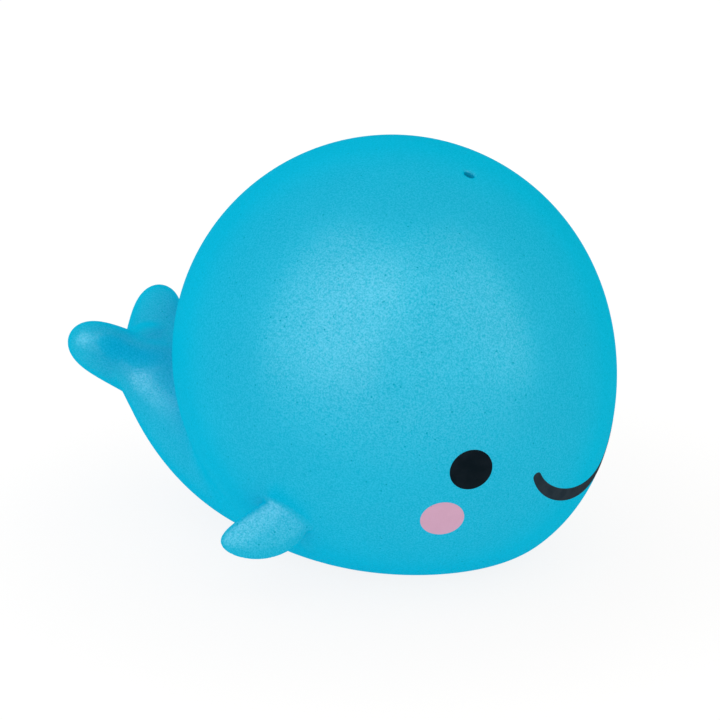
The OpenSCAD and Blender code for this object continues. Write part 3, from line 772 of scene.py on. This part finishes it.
vinyl = finish(
    "blue_vinyl", (0.0, 0.508, 0.746), (0.0, 0.494, 0.729), (0.0, 0.535, 0.77), (0.5, 0.6),
    grain=0.3, pinholes=0.12, depth=0.01, patch=14.0, rub=0.1, speckle=0.07, sheen=(0.2, 1.0),
    Specular_IOR_Level=0.0, Coat_IOR=1.5, Coat_Roughness=0.29,
)
black_ink = finish(
    "black_ink", (0.006, 0.0115, 0.0165), (0.003, 0.008, 0.012), (0.03, 0.04, 0.05), (0.38, 0.46),
    grain=0.22, pinholes=0.08, depth=0.004, patch=2.5, rub=0.1, Specular_IOR_Level=0.02,
)
# A lighter copy of the black ink, which the mouth is printed in
grey_ink = finish(
    "lighter_black_ink", (0.025, 0.04, 0.052), (0.016, 0.029, 0.04), (0.05, 0.07, 0.09), (0.42, 0.5),
    grain=0.22, pinholes=0.1, depth=0.004, patch=2.0, rub=0.1, Specular_IOR_Level=0.02,
)
pink_ink = finish(
    "pink_ink", (0.7, 0.405, 0.55), (0.675, 0.385, 0.525), (0.74, 0.53, 0.63), (0.42, 0.5),
    grain=0.22, pinholes=0.06, depth=0.004, patch=2.5, rub=0.1, Specular_IOR_Level=0.03,
)
polyethylene = finish(
    "white_polyethylene", (0.83, 0.83, 0.79), (0.77, 0.77, 0.72), (0.9, 0.9, 0.88), (0.38, 0.5),
    grain=0.18, pinholes=0.03, depth=0.003, patch=5.0, rub=0.5, Specular_IOR_Level=0.45,
)
polystyrene = finish(
    "grey_polystyrene", (0.68, 0.7, 0.67), (0.62, 0.64, 0.62), (0.78, 0.79, 0.78), (0.16, 0.26),
    grain=0.12, pinholes=0.02, depth=0.0015, patch=3.0, rub=0.35, Specular_IOR_Level=0.5,
)
reed_film = finish(
    "clear_film", (0.82, 0.88, 0.92), (0.76, 0.83, 0.88), (0.9, 0.93, 0.95), (0.08, 0.18),
    grain=0.1, pinholes=0.01, depth=0.001, patch=2.0, rub=0.4, Transmission_Weight=0.6, IOR=1.5,
)


def on_toy(made, slot, *nodes):
    """Puts a piece of the skin or its print in place of its CAD nodes."""
    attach(made, "toy")
    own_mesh(made)
    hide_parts(*nodes)


on_toy(whale_skin(vinyl), "blue_vinyl", "body_shell")
for side, hand in (("right", -1), ("left", 1)):
    eye = round_print(side + "_eye_ink", hand * EYE_TURN, EYE_DIP, EYE_D, black_ink)
    on_toy(eye, "black_ink", side + "_eye")
    cheek = round_print(side + "_cheek_ink", hand * CHEEK_TURN, CHEEK_DIP, CHEEK_D, pink_ink)
    on_toy(cheek, "pink_ink", side + "_cheek")
on_toy(smile(grey_ink), "black_ink", "mouth")

for node, made in (
    ("squeaker_housing", polyethylene), ("squeaker_cap", polyethylene),
    ("reed_block", polystyrene), ("reed_wedge", polystyrene), ("reed", reed_film),
):
    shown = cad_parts[node]
    if shown.material_slots:
        for each in shown.material_slots:
            each.material = made
    else:
        shown.data.materials.append(made)


# Where the camera stands: round from the toy's right side, up from the level, and how far off
AZIMUTH, ELEVATION, FAR = math.radians(29.0), math.radians(20.0), 0.680
# Its sensor and lens in millimetres, the picture's width in pixels, and how far the picture is shifted in those
SENSOR, LENS, PICTURE, SHIFT = 36.0, 186.25, 720, (-31.6, -6.06)
# Directions from the toy: back to the camera, to the picture's right, and up the picture
BACK = np.array([
    math.sin(AZIMUTH) * math.cos(ELEVATION), -math.cos(AZIMUTH) * math.cos(ELEVATION), math.sin(ELEVATION),
])
RIGHT = np.array([math.cos(AZIMUTH), math.sin(AZIMUTH), 0.0])
UP = np.cross(BACK, RIGHT)
# How bright the studio's white is as light, what share of that a sheen sees, and how much red, green and blue the
# light from the picture's right lacks, which the light from its left has over
STUDIO, WALLS, SIDE_SHADE = 0.92, 0.01, (0.0, 0.085, 0.14)
# How strong the soft lights are that only a sheen sees, and their colour
SHEEN, SHEEN_TINT = 0.2, (1.0, 0.82, 0.8)
# The floor's white that takes the shadow and its own white, first as light and then as seen. The toy throws blue
# light on the floor, and the colours as seen make up for that, so that its shadow looks grey
CARRIED = (0.38, 0.38, 0.38), (0.6, 0.6, 0.6)
SEEN = (0.14, 0.175, 0.2), (0.9, 0.862, 0.833)
# How the floor's own white as seen, and the white that a sheen sees, change with the distance from the toy: from and
# to how many metres, and from and to what strength. The first is a painted shadow, the floor's glow a little darker
# near the toy; the second is a pool of glow painted on the floor, which only a sheen sees and reflects
PAINTED_SHADOW = 0.05, 0.105, 0.965, 1.0
PAINTED_POOL = 0.06, 0.22, 0.2, 0.04
# Half the floor's width, and how far it lies under the toy, in millimetres
FLOOR_REACH, FLOOR_DROP = 3000, 0.02


def seen_rays(add):
    """1 for camera and transmission rays, which see the studio as white, and 0 for those that carry light."""
    path = add("LightPath").outputs
    return worked(add, "MAXIMUM", path["Is Camera Ray"], path["Is Transmission Ray"])


def white_floor():
    """White board: it carries light as plain white, and is seen as nearly white with the toy's shadow left faint.

    As seen, its glow is a little darker near the toy, a painted shadow. A sheen sees on it a painted pool of light
    that fades away from the toy. From below it is clear."""
    made = bpy.data.materials.new("white_floor")
    made.use_nodes = True
    tree = made.node_tree
    tree.nodes.clear()
    add = adder(tree)

    def glow(colour, strength):
        return add("Emission", {"Color": (*colour, 1), "Strength": strength}).outputs[0]

    def board(colour, own):
        lit = add("BsdfDiffuse", {"Color": (*colour, 1)}).outputs[0]
        return add("AddShader", {0: lit, 1: own}).outputs[0]

    def either(factor, a, b):
        return add("MixShader", {0: factor, 1: a, 2: b}).outputs[0]

    far = add("VectorMath", {0: add("TexCoord").outputs["Object"]}, operation="LENGTH").outputs["Value"]
    carried = board(CARRIED[0], glow(CARRIED[1], 1.0))
    # As seen, the floor's glow is a little darker near the toy: a painted shadow
    seen = board(SEEN[0], glow(SEEN[1], ramp(add, far, *PAINTED_SHADOW)))
    # A pool of glow painted on the floor, which only a sheen sees and reflects
    pool = glow((1, 1, 1), ramp(add, far, *PAINTED_POOL))
    above = either(add("LightPath").outputs["Is Glossy Ray"], either(seen_rays(add), carried, seen), pool)
    clear = add("BsdfTransparent").outputs[0]
    add("OutputMaterial", {"Surface": either(add("NewGeometry").outputs["Backfacing"], above, clear)})
    return made


def studio_world():
    """White walls all round, a little uneven in colour from side to side, and nearly dark to a sheen."""
    world = bpy.data.worlds.new("studio")
    bpy.context.scene.world = world
    world.use_nodes = True
    tree = world.node_tree
    add, sky = adder(tree), tree.nodes["Background"]
    level = stretched(add, seen_rays(add), 0.0, 1.0, STUDIO, 1.0)
    dimmed = stretched(add, add("LightPath").outputs["Is Glossy Ray"], 0.0, 1.0, 1.0, WALLS)
    tree.links.new(worked(add, "MULTIPLY", level, dimmed), sky.inputs["Strength"])
    way = add("TexCoord").outputs["Generated"]
    aside = add("VectorMath", {0: way, 1: tuple(RIGHT)}, operation="DOT_PRODUCT").outputs["Value"]
    unseen = worked(add, "SUBTRACT", 1.0, seen_rays(add))
    shade = scaled(add, SIDE_SHADE, worked(add, "MULTIPLY", aside, unseen))
    tint = add("VectorMath", {0: (1.0, 1.0, 1.0), 1: shade}, operation="SUBTRACT").outputs[0]
    tree.links.new(tint, sky.inputs["Color"])


def sheen_light(name, width, height, strength, place, turn):
    """A soft light of a size in metres that only a sheen sees, as bright all over as its strength says."""
    data = bpy.data.lights.new(name, "AREA")
    data.shape, data.size, data.size_y = "RECTANGLE", width, height
    data.energy = SHEEN * strength * math.pi * data.size * data.size_y
    data.color = SHEEN_TINT
    made = bpy.data.objects.new(name, data)
    bpy.context.scene.collection.objects.link(made)
    made.location, made.rotation_euler = place, turn
    made.visible_camera = made.visible_diffuse = made.visible_transmission = False


def softbox(name, across, lift, width, height, strength, distance=1.2):
    """A sheen's light of a size in degrees, across and lift degrees off the camera's side, facing the toy."""
    across, lift = math.radians(across), math.radians(lift)
    aim = math.sin(across) * math.cos(lift) * RIGHT + math.sin(lift) * UP + math.cos(across) * math.cos(lift) * BACK
    wide, high = (2 * distance * math.tan(math.radians(x / 2)) for x in (width, height))
    place = (aim * distance + [0, 0, DOME_H * MM]).tolist()
    sheen_light(name, wide, high, strength, place, Vector(aim.tolist()).to_track_quat("Z", "Y").to_euler())


def front_card(name, near, width, strength, end=1.2, lift=0.001):
    """A sheen's light that lies on the floor ahead of the toy, from near to end metres off."""
    ahead = Vector((math.sin(AZIMUTH), -math.cos(AZIMUTH), 0.0))
    turn = Matrix((RIGHT.tolist(), ahead, (0, 0, -1))).transposed().to_euler()
    sheen_light(name, width, end - near, strength, ahead * (near + end) / 2 + Vector((0, 0, lift)), turn)


corners = [(x * FLOOR_REACH, y * FLOOR_REACH, -FLOOR_DROP) for x, y in ((-1, -1), (1, -1), (1, 1), (-1, 1))]
floor = piece("floor", corners, [(0, 1, 2, 3)], white_floor(), smooth=False)
studio_world()
softbox("broad_left", -34, 14, 62, 98, 9.6)
softbox("broad_right", 34, 14, 70, 98, 7.4)
softbox("near_left", -22, 16, 42, 58, 9.8)
softbox("near_middle", 18, 16, 38, 58, 5.6)
softbox("near_right", 53, 17, 30, 50, 7.6)
softbox("near_far_left", -53, 17, 22, 46, 3.4)
front_card("card_near", 0.075, 0.34, 3.0)
front_card("card_middle", 0.115, 0.6, 3.6)
front_card("card_far", 0.22, 1.3, 6.4)

camera_data = bpy.data.cameras.new("camera")
camera = bpy.data.objects.new("camera", camera_data)
bpy.context.scene.collection.objects.link(camera)
bpy.context.scene.camera = camera
camera.location = (BACK * FAR + [0, 0, DOME_H * MM]).tolist()
camera.rotation_euler = (math.pi / 2 - ELEVATION, 0, AZIMUTH)
camera_data.sensor_width, camera_data.lens = SENSOR, LENS
camera_data.shift_x, camera_data.shift_y = (x / PICTURE for x in SHIFT)
camera_data.clip_end = 100

bpy.context.scene.view_settings.view_transform = "Standard"
